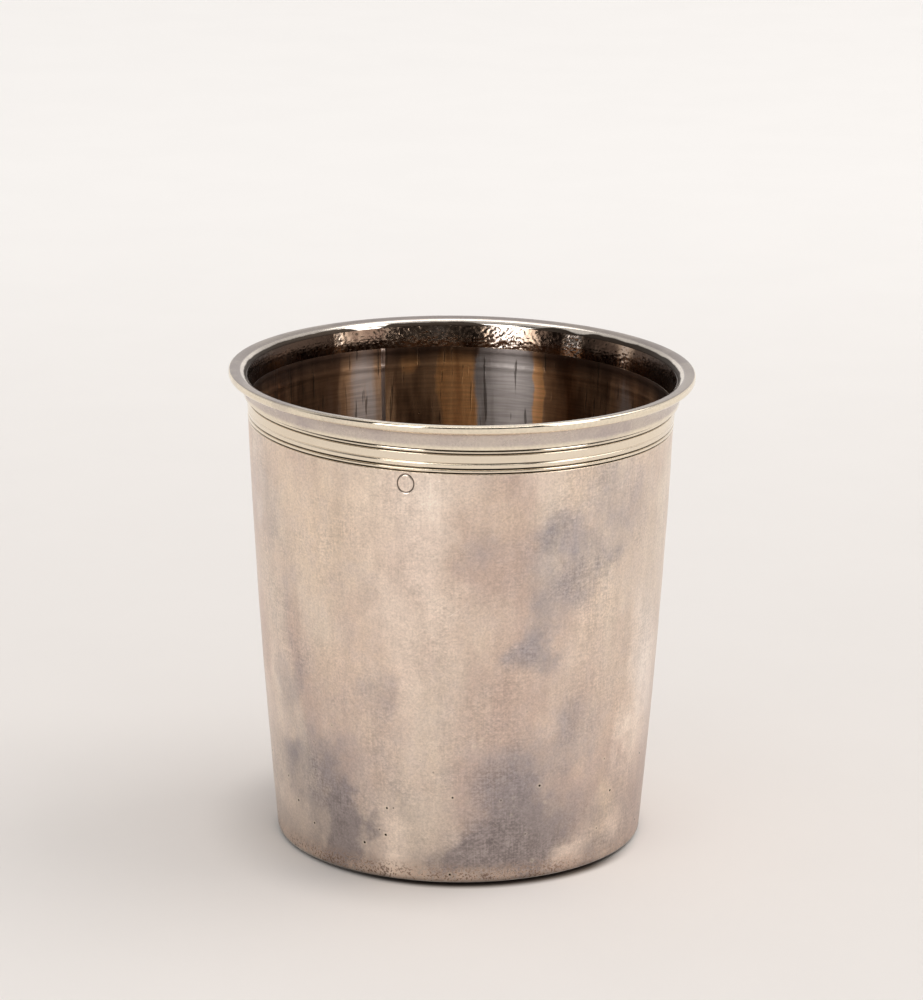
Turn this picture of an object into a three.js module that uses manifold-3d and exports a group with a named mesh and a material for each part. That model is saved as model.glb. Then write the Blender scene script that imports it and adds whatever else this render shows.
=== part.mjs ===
// Christening beaker: a plain tapered silver drinking cup with a turned-out moulded lip.
// A sleeve rolled from sheet is closed by one soldered seam and stands on a flat base disc.
// A lip moulding is soldered on its mouth, and fine paired lines are pressed round the sleeve.
// Units are millimetres, +Z is up, and the origin is the centre of the standing face.

import * as THREE from 'three';
import { mergeVertices } from 'three/addons/utils/BufferGeometryUtils.js';
import Module from 'manifold-3d';

// Whole beaker
const overallHeight = 80; // from the floor to the top of the lip
const facets = 64; // flat faces round the beaker

// Sleeve
const footRadius = 30.7; // outer radius of the sleeve's outline at the floor
const mouthRadius = 35.42; // outer radius where the lip moulding is soldered on
const belly = 0.5; // how far the outline swells past a straight taper at half height
const sheetThickness = 0.5; // silver sheet of the sleeve

// Pressed lines under the lip
const lineWidth = 0.34; // width of one pressed line
const lineDepth = 0.2; // depth of one pressed line outside
const ridgeHeight = 0.14; // height of the ridge that a line leaves inside
const pairSpacing = 0.7; // between the two lines of a pair
const beadProud = 0.06; // how far the bead between two paired lines stands out
const bandHeight = 2.5; // between the upper pair and the lower pair
const bandProud = 0.08; // swell of the band between the pairs
const faintLineShare = 0.64; // the shallow third line's place down the band, as a share of it
const faintLineDepth = 0.07; // depth of the shallow third line

// Lip moulding
const mouldingHeight = 4.95; // from the joint on the sleeve to the top of the lip
const mouldingLedge = 0.25; // step inside, where the moulding's foot sits back from the sleeve
const footProud = 0.7; // how far the moulding's foot stands out past the sleeve
const quirkHeight = 0.3; // notch under the moulding's foot, which reads as the uppermost line
const footBandHeight = 0.4; // upright band between the notch and the hollow
const throatFlare = 0.6; // how far the throat opens past the sleeve's mouth radius
const throatRounding = 0.6; // rounding between the throat and the top of the lip
const lipWidth = 2.73; // from the throat out to the lip's edge
const lipThickness = 1.4; // the lip's edge is a half round of this thickness
const lipStep = 0.25; // small step between the lip's round edge and the hollow under it

// Base disc
const baseThickness = 0.8; // sheet of the base disc
const baseEdgeRounding = 0.6; // rounding of the disc's lower edge
const roundingLimit = 0.9; // the most of the disc's sheet that its rounding takes
const standingWidth = 4.6; // flat ring that the beaker stands on
const baseKick = 0.6; // how far the middle of the base is pushed up

// Soldered joints
const seamWidth = 0.7; // solder strip that closes the sleeve
const seamAzimuth = 113; // degrees from +X to the seam, behind and to the left
const jointGap = 0.05; // the thin space that a brazed joint keeps
const filletSize = 0.8; // solder fillet in the corner between sleeve and base
const filletHollow = 0.3; // where the fillet's hollow face passes, as a share of its size
const lipSolderDrop = 1; // the solder inside the lip stops this far below the throat's rounding
const lipSolderThickness = 0.18; // thickness of that solder

// Steps along the curved stretches of an outline
const wallSteps = 8;
const coveSteps = 6;
const edgeSteps = 6;
const roundingSteps = 4;
const throatSteps = 4;
const kickSteps = 5;

// Finishes
const sleeveColour = 0xbfa893;
const lipColour = 0xb9aca3;
const baseColour = 0xa79d9b;
const solderColour = 0x8c7a68;

// Places that follow from the sizes
const jointHeight = overallHeight - mouldingHeight;
const footInnerRadius = mouthRadius - sheetThickness + mouldingLedge;
const throatRadius = mouthRadius + throatFlare;
const lipRadius = throatRadius + lipWidth;
const upperLineHeight = jointHeight + quirkHeight / 2 - pairSpacing;
const lowerPairTop = upperLineHeight - bandHeight;
const lowerPairBottom = lowerPairTop - pairSpacing;
const throatHeight = overallHeight - throatRounding;
const baseRounding = Math.min(baseEdgeRounding, baseThickness * roundingLimit);

const wasm = await Module();
wasm.setup();

function sleeveRadius(z) {
  const share = z / jointHeight;
  return footRadius + (mouthRadius - footRadius) * share + 4 * belly * share * (1 - share);
}

function point(radius, z) {
  return new THREE.Vector2(radius, z);
}

// A closed outline turned into a ring, or into a disc when it starts and ends on the axis
function revolve(outline, closed = true) {
  const path = closed ? [...outline, outline[0].clone()] : outline;
  return new THREE.LatheGeometry(path, facets).rotateX(Math.PI / 2);
}

// Points on an arc of an ellipse, both ends included, with angles in degrees
function arc(centreRadius, centreZ, radialAxis, uprightAxis, fromDegrees, toDegrees, steps) {
  const points = [];
  for (let i = 0; i <= steps; i += 1) {
    const angle = THREE.MathUtils.degToRad(THREE.MathUtils.lerp(fromDegrees, toDegrees, i / steps));
    const radius = centreRadius + radialAxis * Math.cos(angle);
    points.push(point(radius, centreZ + uprightAxis * Math.sin(angle)));
  }
  return points;
}

function toManifold(geometry) {
  const bare = geometry.clone();
  bare.deleteAttribute('normal');
  bare.deleteAttribute('uv');
  const merged = mergeVertices(bare);
  return new wasm.Manifold(
    new wasm.Mesh({
      numProp: 3,
      vertProperties: new Float32Array(merged.attributes.position.array),
      triVerts: new Uint32Array(merged.index.array),
    })
  );
}

function toGeometry(solid) {
  const mesh = solid.getMesh();
  const geometry = new THREE.BufferGeometry();
  geometry.setAttribute('position', new THREE.BufferAttribute(mesh.vertProperties, 3));
  geometry.setIndex(new THREE.BufferAttribute(mesh.triVerts, 1));
  geometry.computeVertexNormals();
  return geometry;
}

// One pressed line seen from outside, listed upwards
function pressedLine(z, depth) {
  const half = lineWidth / 2;
  return [
    point(sleeveRadius(z - half), z - half),
    point(sleeveRadius(z) - depth, z),
    point(sleeveRadius(z + half), z + half),
  ];
}

// The ridge that a pressed line leaves inside, listed downwards
function insideRidge(z) {
  const inner = (height) => sleeveRadius(height) - sheetThickness;
  return [
    point(inner(z + lineWidth), z + lineWidth),
    point(inner(z) - ridgeHeight, z),
    point(inner(z - lineWidth), z - lineWidth),
  ];
}

function bead(z) {
  return point(sleeveRadius(z) + beadProud, z);
}

function bandCrest(z) {
  return point(sleeveRadius(z) + bandProud, z);
}

// The plain part of the sleeve from the base disc up to the lower pair, both ends included
function plainWall(inset, top) {
  const points = [];
  for (let i = 0; i <= wallSteps; i += 1) {
    const z = THREE.MathUtils.lerp(baseThickness, top, i / wallSteps);
    points.push(point(sleeveRadius(z) - inset, z));
  }
  return points;
}

function sleeveOutline() {
  const faintLineHeight = upperLineHeight - bandHeight * faintLineShare;
  const outside = [
    ...plainWall(0, lowerPairBottom - lineWidth),
    ...pressedLine(lowerPairBottom, lineDepth),
    bead((lowerPairBottom + lowerPairTop) / 2),
    ...pressedLine(lowerPairTop, lineDepth),
    ...pressedLine(faintLineHeight, faintLineDepth),
    bandCrest((faintLineHeight + upperLineHeight) / 2),
    ...pressedLine(upperLineHeight, lineDepth),
    bead((upperLineHeight + jointHeight) / 2),
    point(mouthRadius, jointHeight),
  ];
  const inside = [
    point(mouthRadius - sheetThickness, jointHeight),
    ...insideRidge(upperLineHeight),
    ...insideRidge((lowerPairBottom + lowerPairTop) / 2),
    ...plainWall(sheetThickness, lowerPairBottom - pairSpacing).reverse(),
  ];
  return [...outside, ...inside];
}

// The slot that the solder strip fills, as wide as the strip and on one side of the beaker only
function seamCutter() {
  const reach = lipRadius * 2;
  const cutter = new THREE.BoxGeometry(reach, seamWidth, overallHeight * 2);
  cutter.translate(reach / 2, 0, overallHeight / 2);
  cutter.rotateZ(THREE.MathUtils.degToRad(seamAzimuth));
  return toManifold(cutter);
}

function sleevePieces() {
  const wholeSleeve = toManifold(revolve(sleeveOutline()));
  const cutter = seamCutter();
  return {
    sleeve: toGeometry(wholeSleeve.subtract(cutter)),
    seam: toGeometry(wholeSleeve.intersect(cutter)),
  };
}

// The moulding's inner face opens from the joint to the throat in a parabola
function throatFace(z) {
  const share = (z - jointHeight) / (throatHeight - jointHeight);
  return footInnerRadius + (throatRadius - footInnerRadius) * share * share;
}

// Points up that face between two heights, both ends included
function throatOutline(bottom, top) {
  const points = [];
  for (let i = 0; i <= throatSteps; i += 1) {
    const z = THREE.MathUtils.lerp(bottom, top, i / throatSteps);
    points.push(point(throatFace(z), z));
  }
  return points;
}

function lipMoulding() {
  const lipUnderside = overallHeight - lipThickness;
  const halfRound = lipThickness / 2;
  const edgeCentre = lipRadius - halfRound;
  const coveFoot = jointHeight + quirkHeight + footBandHeight;
  const coveOuter = edgeCentre - lipStep;
  const coveWidth = coveOuter - (mouthRadius + footProud);
  const innerFace = throatOutline(jointHeight, throatHeight).slice(1, -1).reverse();
  return revolve([
    point(footInnerRadius, jointHeight),
    point(mouthRadius, jointHeight),
    point(mouthRadius, jointHeight + quirkHeight),
    point(mouthRadius + footProud, jointHeight + quirkHeight),
    ...arc(coveOuter, coveFoot, -coveWidth, lipUnderside - coveFoot, 0, 90, coveSteps),
    ...arc(edgeCentre, overallHeight - halfRound, halfRound, halfRound, -90, 90, edgeSteps),
    ...arc(throatRadius + throatRounding, throatHeight,
      throatRounding, throatRounding, 90, 180, roundingSteps),
    ...innerFace,
  ]);
}

// Solder that stands on the sleeve's top edge and lines the moulding's inner face
function lipSolder() {
  const face = throatOutline(jointHeight, throatHeight - lipSolderDrop);
  const outer = face.map((p) => point(p.x - jointGap, p.y));
  const inner = outer.map((p) => point(p.x - lipSolderThickness, p.y)).reverse();
  return revolve([...outer, ...inner]);
}

function baseDisc() {
  const edgeRadius = sleeveRadius(baseThickness);
  const standingOuter = edgeRadius - baseRounding;
  const standingInner = standingOuter - standingWidth;
  const dish = (faceHeight) => {
    const points = [];
    for (let i = 0; i <= kickSteps; i += 1) {
      const share = i / kickSteps;
      const rise = baseKick * (1 + Math.cos(Math.PI * share)) / 2;
      points.push(point(standingInner * share, faceHeight + rise));
    }
    return points;
  };
  return revolve([
    ...dish(0),
    ...arc(standingOuter, baseRounding, baseRounding, baseRounding, -90, 0, roundingSteps),
    point(edgeRadius, baseThickness),
    ...dish(baseThickness).reverse(),
  ], false);
}

// Solder fillet standing on the disc in the corner under the sleeve's inner face
function baseSolder() {
  const innerRadius = (z) => sleeveRadius(z) - sheetThickness - jointGap;
  const top = baseThickness + filletSize;
  const cornerRadius = innerRadius(baseThickness);
  const hollow = filletSize * filletHollow;
  return revolve([
    point(cornerRadius - filletSize, baseThickness),
    point(cornerRadius, baseThickness),
    point(innerRadius(top), top),
    point(cornerRadius - hollow, baseThickness + hollow),
  ]);
}

function addPiece(parent, name, geometry, colour, roughness) {
  const material = new THREE.MeshStandardMaterial({ color: colour, roughness, metalness: 1 });
  const mesh = new THREE.Mesh(geometry, material);
  mesh.name = name;
  parent.add(mesh);
}

const { sleeve, seam } = sleevePieces();
const beaker = new THREE.Group();
addPiece(beaker, 'wall_sleeve', sleeve, sleeveColour, 0.34);
addPiece(beaker, 'wall_seam', seam, solderColour, 0.45);
addPiece(beaker, 'lip_moulding', lipMoulding(), lipColour, 0.4);
addPiece(beaker, 'lip_solder', lipSolder(), solderColour, 0.6);
addPiece(beaker, 'base_disc', baseDisc(), baseColour, 0.4);
addPiece(beaker, 'base_solder', baseSolder(), solderColour, 0.5);

export default beaker;
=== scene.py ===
"""Christening beaker: a plain tapered silver cup with fine pressed lines and a turned-out lip.

The wall is a rolled sheet closed by one soldered seam. It stands on a flat base disc, and a
moulded lip is soldered on its mouth. Each piece is traced as an outline, spun round the
beaker's upright axis, and then leaned a little, as a hand-made cup is never quite true.
"""

import functools
import math
import random

import bpy
import numpy as np
from bpy.props import FloatProperty, FloatVectorProperty, IntProperty, PointerProperty
from mathutils import Matrix, Vector


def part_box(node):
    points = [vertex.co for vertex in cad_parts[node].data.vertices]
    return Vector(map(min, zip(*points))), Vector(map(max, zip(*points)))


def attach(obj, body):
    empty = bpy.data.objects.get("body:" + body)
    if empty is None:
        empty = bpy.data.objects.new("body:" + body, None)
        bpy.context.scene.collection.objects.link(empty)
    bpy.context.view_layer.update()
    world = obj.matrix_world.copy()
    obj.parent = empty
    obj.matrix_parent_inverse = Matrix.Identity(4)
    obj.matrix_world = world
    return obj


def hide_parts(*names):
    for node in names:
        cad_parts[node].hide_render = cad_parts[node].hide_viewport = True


bl_info = {
    "name": "Christening beaker",
    "version": (1, 0, 0),
    "blender": (4, 5, 0),
    "location": "View3D > Sidebar > Beaker",
    "description": "Models an old silver beaker and its studio",
    "category": "Add Mesh",
}

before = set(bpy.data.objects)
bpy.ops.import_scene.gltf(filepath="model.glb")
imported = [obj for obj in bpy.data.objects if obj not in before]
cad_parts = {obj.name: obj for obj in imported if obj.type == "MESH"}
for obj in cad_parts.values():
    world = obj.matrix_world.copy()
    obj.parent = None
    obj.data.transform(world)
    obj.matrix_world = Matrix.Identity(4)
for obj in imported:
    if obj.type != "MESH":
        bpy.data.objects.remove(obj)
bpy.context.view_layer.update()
MM = 0.001

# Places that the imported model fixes
FLOOR_OF_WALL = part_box("wall_sleeve")[0].z
JOINT_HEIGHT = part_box("wall_sleeve")[1].z
LIP_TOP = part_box("lip_moulding")[1].z
SOLDER_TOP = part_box("lip_solder")[1].z
FILLET_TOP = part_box("base_solder")[1].z

# How the cup leans away from true: height and sink in millimetres, slope along X in degrees,
# and shift along X in millimetres
LEAN = (
    (0.0, 0.0, 0.0, -0.10),
    (12.0, 0.0, 0.0, -0.10),
    (40.0, -0.08, 0.35, -0.10),
    (71.0, -0.16, 1.02, -0.08),
    (75.0, -0.18, 1.05, 0.0),
    (80.0, -0.34, 0.47, 0.11),
)
LEAN_REACH = 90 * MM
LEAN_LEVELS = 17
LEAN_POINTS_ACROSS = 5
HAND_WAVE = 0.035 * MM
HAND_WAVE_FULL_AT = 10 * MM
HAND_WAVE_SEED = 7

WELD = 0.001 * MM
SMOOTH_ANGLE = math.radians(42)


class BeakerShape(bpy.types.PropertyGroup):
    """Sizes of the beaker that a maker would change."""

    foot_radius: FloatProperty(
        name="Foot radius",
        description="Outer radius of the wall's outline at the floor",
        default=30.7 * MM,
        unit="LENGTH",
    )
    mouth_radius: FloatProperty(
        name="Mouth radius",
        description="Outer radius of the wall where the lip is soldered on",
        default=35.42 * MM,
        unit="LENGTH",
    )
    belly: FloatProperty(
        name="Belly",
        description="How far the wall swells past a straight taper at half height",
        default=0.5 * MM,
        unit="LENGTH",
    )
    sheet: FloatProperty(
        name="Sheet",
        description="Thickness of the rolled sheet",
        default=0.5 * MM,
        unit="LENGTH",
    )
    line_width: FloatProperty(
        name="Line width",
        description="Width of one pressed line",
        default=0.42 * MM,
        unit="LENGTH",
    )
    line_depth: FloatProperty(
        name="Line depth",
        description="Depth of one pressed line",
        default=0.24 * MM,
        unit="LENGTH",
    )
    lip_width: FloatProperty(
        name="Lip width",
        description="From the throat out to the lip's edge",
        default=2.6 * MM,
        unit="LENGTH",
    )
    lip_thickness: FloatProperty(
        name="Lip thickness",
        description="Height of the lip's rounded edge",
        default=1.5 * MM,
        unit="LENGTH",
    )
    throat_rounding: FloatProperty(
        name="Throat rounding",
        description="Height of the curve from the lip's top down into its throat",
        default=1.45 * MM,
        unit="LENGTH",
    )
    solder_roughness: FloatProperty(
        name="Solder roughness",
        description="Height of the lumps in the solder under the lip",
        default=0.3 * MM,
        unit="LENGTH",
    )
    turning_steps: IntProperty(
        name="Turning steps",
        description="Flat faces round a turned piece",
        default=240,
        min=48,
        max=320,
    )


class BeakerFinish(bpy.types.PropertyGroup):
    """Colours of the silver and its tarnish."""

    warm_silver: FloatVectorProperty(
        name="Warm silver",
        description="Worn silver under a thin film of tarnish",
        subtype="COLOR",
        default=(0.84, 0.715, 0.595),
    )
    rose_silver: FloatVectorProperty(
        name="Rose silver",
        description="Silver where the film has turned rosy brown",
        subtype="COLOR",
        default=(0.66, 0.51, 0.43),
    )
    lilac_tarnish: FloatVectorProperty(
        name="Lilac tarnish",
        description="Cloudy grey-lilac tarnish",
        subtype="COLOR",
        default=(0.375, 0.34, 0.355),
    )
    polished_silver: FloatVectorProperty(
        name="Polished silver",
        description="Rubbed silver on the lines and on the lip's edge",
        subtype="COLOR",
        default=(0.90, 0.80, 0.64),
    )
    deep_tarnish: FloatVectorProperty(
        name="Deep tarnish",
        description="Black tarnish in lines, pits and corners",
        subtype="COLOR",
        default=(0.035, 0.026, 0.018),
    )
    inside_brown: FloatVectorProperty(
        name="Inside brown",
        description="Copper-brown film inside the cup",
        subtype="COLOR",
        default=(0.44, 0.255, 0.14),
    )
    inside_grey: FloatVectorProperty(
        name="Inside grey",
        description="Bare grey silver inside the cup",
        subtype="COLOR",
        default=(0.43, 0.39, 0.375),
    )


class BeakerStage(bpy.types.PropertyGroup):
    """The camera and lamps."""

    lens: FloatProperty(
        name="Lens",
        description="Focal length of the camera",
        default=141.58,
        subtype="DISTANCE_CAMERA",
    )
    distance: FloatProperty(
        name="Distance",
        description="From the camera to the point that it turns round",
        default=657.05 * MM,
        unit="LENGTH",
    )
    elevation: FloatProperty(
        name="Elevation",
        description="Angle of the camera above the horizon",
        default=math.radians(15.73),
        subtype="ANGLE",
        unit="ROTATION",
    )
    roll: FloatProperty(
        name="Roll",
        description="Turn of the camera about its own axis",
        default=math.radians(0.33),
        subtype="ANGLE",
        unit="ROTATION",
    )
    key_power: FloatProperty(
        name="Key power",
        description="Power of the soft lamp high on the right",
        default=15.0,
        unit="POWER",
    )
    strip_power: FloatProperty(
        name="Strip power",
        description="Power of each of the two front strips, which only the metal shows",
        default=19.0,
        unit="POWER",
    )
    back_power: FloatProperty(
        name="Back power",
        description="Power of the lamp behind the cup that lights its rim",
        default=5.5,
        unit="POWER",
    )
    top_power: FloatProperty(
        name="Top power",
        description="Power of the high front lamp that draws a bright line along rounded edges",
        default=13.0,
        unit="POWER",
    )
    floor_colour: FloatVectorProperty(
        name="Floor colour",
        description="Warm white of the studio paper round the cup",
        subtype="COLOR",
        default=(0.835, 0.79, 0.755),
    )
    # Painted light: the paper is painted paler towards the back, as if more light fell there
    far_lit_colour: FloatVectorProperty(
        name="Far colour",
        description="Paler paper towards the back of the studio",
        subtype="COLOR",
        default=(0.94, 0.905, 0.875),
    )
    fill_colour: FloatVectorProperty(
        name="Fill colour",
        description="Even light from all round that falls on the cup and the floor",
        subtype="COLOR",
        default=(0.86, 0.86, 0.86),
    )
    paper_colour: FloatVectorProperty(
        name="Paper colour",
        description="The pale paper behind, as the camera and the metal see it",
        subtype="COLOR",
        default=(0.84, 0.81, 0.79),
    )
    room_colour: FloatVectorProperty(
        name="Room colour",
        description="The room above the paper, as the metal sees it",
        subtype="COLOR",
        default=(0.54, 0.52, 0.51),
    )
    dark_side: FloatVectorProperty(
        name="Dark side",
        description="The unlit room on the camera's side, as the metal sees it",
        subtype="COLOR",
        default=(0.045, 0.042, 0.04),
    )


# Outlines

def wall_radius(shape, height):
    """Outer radius of the plain wall at a height."""
    share = height / JOINT_HEIGHT
    taper = shape.mouth_radius - shape.foot_radius
    return shape.foot_radius + taper * share + 4 * shape.belly * share * (1 - share)


def swell(values, middle, half_width):
    """A smooth hump of height 1 at its middle and 0 outside its half width."""
    away = np.clip((values - middle) / half_width, -1, 1)
    return np.cos(math.pi / 2 * away) ** 2


PAIR_SPACING = 0.7 * MM
BAND_HEIGHT = 2.5 * MM
UPPER_LINE = JOINT_HEIGHT + 0.15 * MM - PAIR_SPACING
LOWER_PAIR_TOP = UPPER_LINE - BAND_HEIGHT
LOWER_PAIR_BOTTOM = LOWER_PAIR_TOP - PAIR_SPACING
FAINT_LINE = UPPER_LINE - 0.64 * BAND_HEIGHT
DEEP_LINES = (LOWER_PAIR_BOTTOM, LOWER_PAIR_TOP, UPPER_LINE)
BEADS = (LOWER_PAIR_TOP - PAIR_SPACING / 2, UPPER_LINE + PAIR_SPACING / 2)
BEAD_PROUD = 0.07 * MM
BAND_PROUD = 0.08 * MM
FAINT_SHARE = 0.6
# Painted dark reflection in the faint line: where it is darkest, how far it reaches, and how much
# paler the line is elsewhere
FAINT_REFLECTION_AT = 7.5 * MM
FAINT_REFLECTION_REACH = 12 * MM
FAINT_PALE = 0.25
INSIDE_RIDGE = 0.07 * MM
RIDGE_HALF_WIDTH = 0.85 * MM
LINES_START = LOWER_PAIR_BOTTOM - 0.6 * MM


def line_cut(shape, height):
    """How deep the pressed lines are at a height, as a share of a full line."""
    half = shape.line_width / 2
    deep = sum(swell(height, line, half) for line in DEEP_LINES)
    return deep + FAINT_SHARE * swell(height, FAINT_LINE, half)


def faint_line_painted_reflection(shape, places):
    """How dark the faint line's painted dark reflection is at each place: darkest a little right of
    the front.
    """
    line = swell(places[:, 2], FAINT_LINE, shape.line_width / 2)
    dark = swell(places[:, 0], FAINT_REFLECTION_AT, FAINT_REFLECTION_REACH)
    return line * (dark * (places[:, 1] < 0) - FAINT_PALE)


def outside_relief(shape, height):
    """How far lines, beads and band stand out from the plain wall."""
    beads = sum(swell(height, bead, PAIR_SPACING / 2) for bead in BEADS)
    band_middle = (UPPER_LINE + LOWER_PAIR_TOP) / 2
    band = swell(height, band_middle, BAND_HEIGHT / 2)
    return beads * BEAD_PROUD + band * BAND_PROUD - line_cut(shape, height) * shape.line_depth


def inside_relief(height):
    """How far the pressed lines bulge into the cup."""
    ridges = (UPPER_LINE, (LOWER_PAIR_BOTTOM + LOWER_PAIR_TOP) / 2)
    return INSIDE_RIDGE * sum(swell(height, ridge, RIDGE_HALF_WIDTH) for ridge in ridges)


def steps_between(start, end, step):
    """Evenly spaced values from start to end, both included."""
    count = max(1, round(abs(end - start) / step))
    return [start + (end - start) * i / count for i in range(count + 1)]


WALL_EDGE = 0.12 * MM
PLAIN_STEP = 1.6 * MM
LINE_STEP = 0.045 * MM
RIDGE_STEP = 0.12 * MM


def wall_outline(shape):
    """Up the outside of the wall and down its inside."""
    top = JOINT_HEIGHT
    heights = steps_between(FLOOR_OF_WALL, LINES_START, PLAIN_STEP)
    heights += steps_between(LINES_START, top - WALL_EDGE, LINE_STEP)[1:]
    outside = [(wall_radius(shape, z) + outside_relief(shape, z), z) for z in heights]
    outer_edge = outside[-1][0]
    outside.append((outer_edge - WALL_EDGE * 0.3, top - WALL_EDGE * 0.3))
    outside.append((outer_edge - WALL_EDGE, top))

    def inner(z):
        return wall_radius(shape, z) - shape.sheet - inside_relief(z)

    heights = steps_between(top, LINES_START - PAIR_SPACING, RIDGE_STEP)
    heights += steps_between(LINES_START - PAIR_SPACING, FLOOR_OF_WALL, PLAIN_STEP)[1:]
    return outside + [(inner(z), z) for z in heights]


def arc(centre, radii, start, end, steps):
    """Points on an ellipse's arc, with angles in degrees."""
    points = []
    for i in range(steps + 1):
        angle = math.radians(start + (end - start) * i / steps)
        across = centre[0] + radii[0] * math.cos(angle)
        up = centre[1] + radii[1] * math.sin(angle)
        points.append((across, up))
    return points


THROAT_FLARE = 0.6 * MM
FACE_TOP = LIP_TOP - 0.6 * MM
EDGE_CORNER = 0.42 * MM
FLARE_WIDTH = 2.56 * MM
FLARE_END = 170
MOULDING_LEDGE = 0.25 * MM
FOOT_PROUD = 0.7 * MM
QUIRK_HEIGHT = 0.3 * MM
FOOT_BAND = 0.4 * MM
FOOT_CORNER = 0.1 * MM
LIP_STEP = 0.25 * MM
FACE_STEP = 0.3 * MM


def throat_face(shape, height):
    """Radius of the moulding's inner face, which opens towards the throat."""
    foot = shape.mouth_radius - shape.sheet + MOULDING_LEDGE
    throat = shape.mouth_radius + THROAT_FLARE
    share = (height - JOINT_HEIGHT) / (FACE_TOP - JOINT_HEIGHT)
    return foot + (throat - foot) * share * share


def lip_outline(shape):
    """Round the moulding: foot, notch, hollow, rounded edge, and the flare into the throat."""
    bottom = JOINT_HEIGHT
    foot = shape.mouth_radius + FOOT_PROUD
    outer = shape.mouth_radius + THROAT_FLARE + shape.lip_width
    half = shape.lip_thickness / 2
    underside = LIP_TOP - shape.lip_thickness
    notch_top = bottom + QUIRK_HEIGHT
    hollow_foot = notch_top + FOOT_BAND
    hollow_outer = outer - half - LIP_STEP
    outline = [(throat_face(shape, bottom), bottom), (shape.mouth_radius, bottom)]
    outline.append((shape.mouth_radius, notch_top - FOOT_CORNER))
    outline.append((shape.mouth_radius + FOOT_CORNER, notch_top))
    corner = (foot - FOOT_CORNER, notch_top + FOOT_CORNER)
    outline += arc(corner, (FOOT_CORNER, FOOT_CORNER), -90, 0, 3)
    hollow = (hollow_outer - foot, underside - hollow_foot)
    outline += arc((hollow_outer, hollow_foot), (-hollow[0], hollow[1]), 0, 90, 20)
    outline += arc((outer - half, underside + half), (half, half), -90, 0, 12)
    corner = (outer - EDGE_CORNER, LIP_TOP - EDGE_CORNER)
    outline += arc(corner, (EDGE_CORNER, EDGE_CORNER), 0, 90, 8)
    flare = (FLARE_WIDTH, shape.throat_rounding)
    outline += arc((corner[0], LIP_TOP - flare[1]), flare, 90, FLARE_END, 26)[1:]
    heights = steps_between(outline[-1][1], bottom, FACE_STEP)[1:-1]
    outline += [(throat_face(shape, z), z) for z in heights]
    return outline


SOLDER_GAP = 0.05 * MM
SOLDER_GRAIN = 0.5 * MM
SOLDER_SHEET = 0.18 * MM
SOLDER_CREEP = 0.38 * MM
SOLDER_STEP = 0.54 * MM


def solder_outline(shape):
    """A thin band against the moulding's inner face, fine enough for its lumps."""
    heights = steps_between(JOINT_HEIGHT, SOLDER_TOP + SOLDER_CREEP, SOLDER_STEP)
    face = [(throat_face(shape, z) - SOLDER_GAP, z) for z in heights]
    return face + [(radius - SOLDER_SHEET, z) for radius, z in reversed(face)]


STANDING_WIDTH = 3.4 * MM
BASE_KICK = 0.6 * MM
BASE_ROUNDING = 0.6 * MM
BASE_RISE = 0.30 * MM
BASE_RISE_WIDTH = 3.0 * MM
BASE_CORNER = 0.05 * MM
DISH_STEP = 0.05


def base_outline(shape):
    """From the middle of the underside round the disc's edge to the middle of its top."""
    edge = wall_radius(shape, FLOOR_OF_WALL)
    shoulder = edge - BASE_ROUNDING
    standing = shoulder - BASE_RISE_WIDTH
    inner = standing - STANDING_WIDTH
    shares = steps_between(0.0, 1.0, DISH_STEP)
    dish = [(inner * s, BASE_KICK * (1 + math.cos(math.pi * s)) / 2) for s in shares]
    rise = arc((standing, BASE_RISE), (BASE_RISE_WIDTH, BASE_RISE), -90, -25, 6)
    height = FLOOR_OF_WALL - BASE_RISE
    rounding = arc((shoulder, FLOOR_OF_WALL), (BASE_ROUNDING, height), -70, -8, 8)
    top = [(edge, FLOOR_OF_WALL - BASE_CORNER), (edge - BASE_CORNER, FLOOR_OF_WALL)]
    return dish + rise + rounding + top + [(r, z + FLOOR_OF_WALL) for r, z in reversed(dish)]


def fillet_outline(shape):
    """The hollow-faced solder in the corner between wall and base."""
    size = FILLET_TOP - FLOOR_OF_WALL
    corner = wall_radius(shape, FLOOR_OF_WALL) - shape.sheet - SOLDER_GAP
    top_radius = wall_radius(shape, FILLET_TOP) - shape.sheet - SOLDER_GAP
    hollow = arc((corner - size, FILLET_TOP), (size, size), 0, -90, 8)[1:]
    return [(corner, FLOOR_OF_WALL), (top_radius, FILLET_TOP)] + hollow


# Modelling steps

def deselect_all():
    bpy.ops.object.select_all(action="DESELECT")


def trace(name, outline, closed):
    """Merges a small plane to one point and extrudes it along an outline of (radius, height)."""
    deselect_all()
    bpy.ops.mesh.primitive_plane_add(size=MM)
    piece = bpy.context.object
    piece.name = piece.data.name = name
    bpy.ops.object.mode_set(mode="EDIT")
    bpy.ops.mesh.select_all(action="SELECT")
    bpy.ops.mesh.merge(type="CENTER")
    path = [Vector((radius, 0, height)) for radius, height in outline]
    if closed:
        path.append(path[0])
    bpy.ops.transform.translate(value=path[0])
    for here, there in zip(path, path[1:]):
        bpy.ops.mesh.extrude_vertices_move(TRANSFORM_OT_translate={"value": there - here})
    bpy.ops.mesh.select_all(action="SELECT")
    bpy.ops.mesh.remove_doubles(threshold=WELD)
    return piece


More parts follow.
